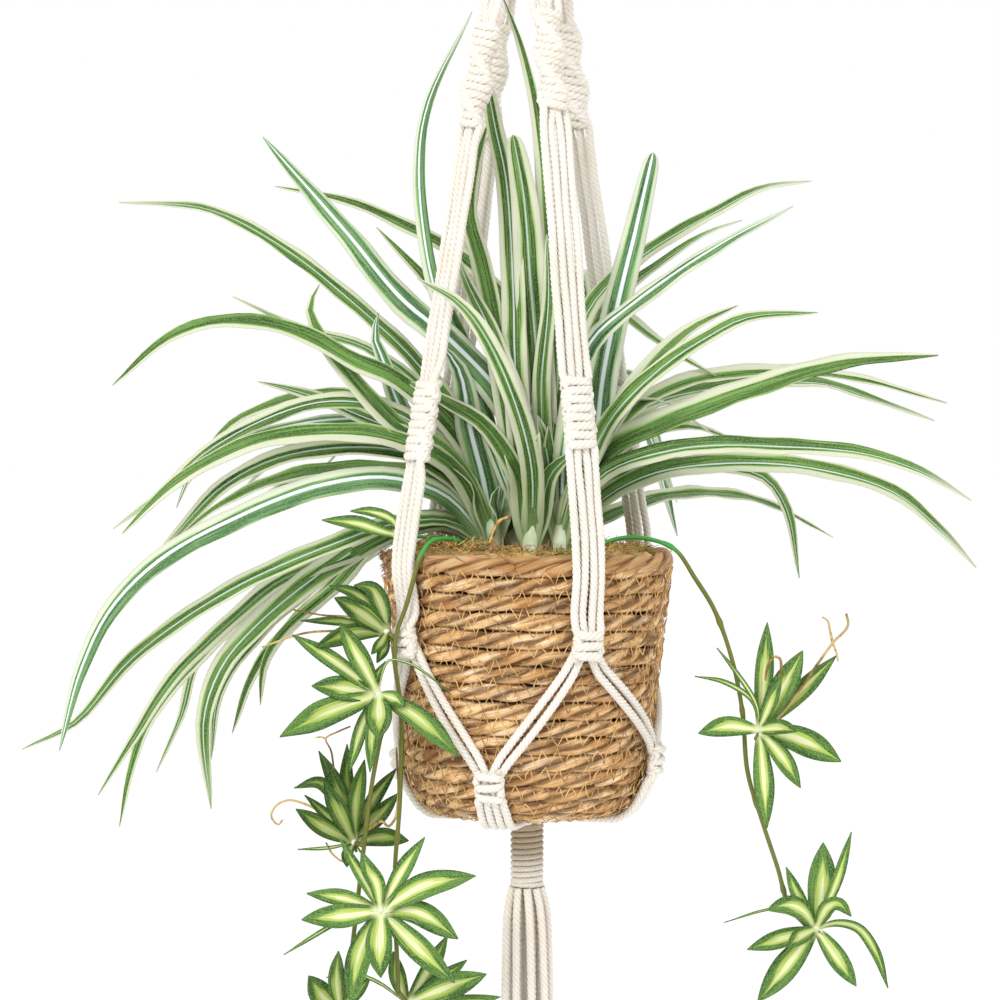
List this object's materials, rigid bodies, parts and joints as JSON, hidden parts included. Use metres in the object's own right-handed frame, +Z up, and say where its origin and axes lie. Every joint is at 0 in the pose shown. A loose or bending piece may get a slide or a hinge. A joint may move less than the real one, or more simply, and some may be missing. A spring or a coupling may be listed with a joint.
{
  "type": "potted spider plant",
  "caption": "Variegated spider plant with trailing plantlets in a coiled seagrass basket, hung in a knotted cotton cord hanger with a tassel.",
  "frame": {"origin": "top of the inside of the hanging ring, where it bears on its hook", "axes": "+Z up, -Y is the front, +X to the right of the front view"},
  "size_m": [0.5301, 0.3112, 0.8848],
  "materials": {
    "seagrass": "dry twisted grass, matt",
    "liner": "matt film",
    "soil": "crumbly, matt",
    "moss": "fibrous, matt",
    "leaf": "satin, striped lengthwise with cream",
    "plantlet_leaf": "satin, pale along the middle",
    "trailing_stem": "satin",
    "cotton_cord": "twisted cotton, matt",
    "wood": "plain, satin"
  },
  "bodies": {
    "root": {"foliage": "leaf", "runner_left": "trailing_stem", "runner_left_branch": "trailing_stem", "runner_right": "trailing_stem", "plantlet_upper_left": "plantlet_leaf", "plantlet_middle_left": "plantlet_leaf", "plantlet_lower_left": "plantlet_leaf", "plantlet_star": "plantlet_leaf", "plantlet_bottom": "plantlet_leaf", "plantlet_bottom_left": "plantlet_leaf", "plantlet_upper_right": "plantlet_leaf", "plantlet_lower_right": "plantlet_leaf", "basket": "seagrass", "liner": "liner", "soil": "soil", "moss": "moss", "leg_front_right": "cotton_cord", "leg_back_right": "cotton_cord", "leg_back_left": "cotton_cord", "leg_front_left": "cotton_cord", "sling_front_from_front_left": "cotton_cord", "sling_front_from_front_right": "cotton_cord", "sling_right_from_front_right": "cotton_cord", "sling_right_from_back_right": "cotton_cord", "sling_back_from_back_right": "cotton_cord", "sling_back_from_back_left": "cotton_cord", "sling_left_from_back_left": "cotton_cord", "sling_left_from_front_left": "cotton_cord", "join_front": "cotton_cord", "join_right": "cotton_cord", "join_back": "cotton_cord", "join_left": "cotton_cord", "gather_wrap": "cotton_cord", "top_wrap": "cotton_cord", "gather_core": "cotton_cord", "folded_cords": "cotton_cord", "hanging_ring": "wood", "tassel_01": "cotton_cord", "tassel_02": "cotton_cord", "tassel_03": "cotton_cord", "tassel_04": "cotton_cord", "tassel_05": "cotton_cord", "tassel_06": "cotton_cord", "tassel_07": "cotton_cord", "tassel_08": "cotton_cord", "tassel_09": "cotton_cord", "tassel_10": "cotton_cord", "tassel_11": "cotton_cord", "tassel_12": "cotton_cord", "tassel_13": "cotton_cord", "tassel_14": "cotton_cord", "tassel_15": "cotton_cord", "tassel_16": "cotton_cord"}
  },
  "joints": []
}
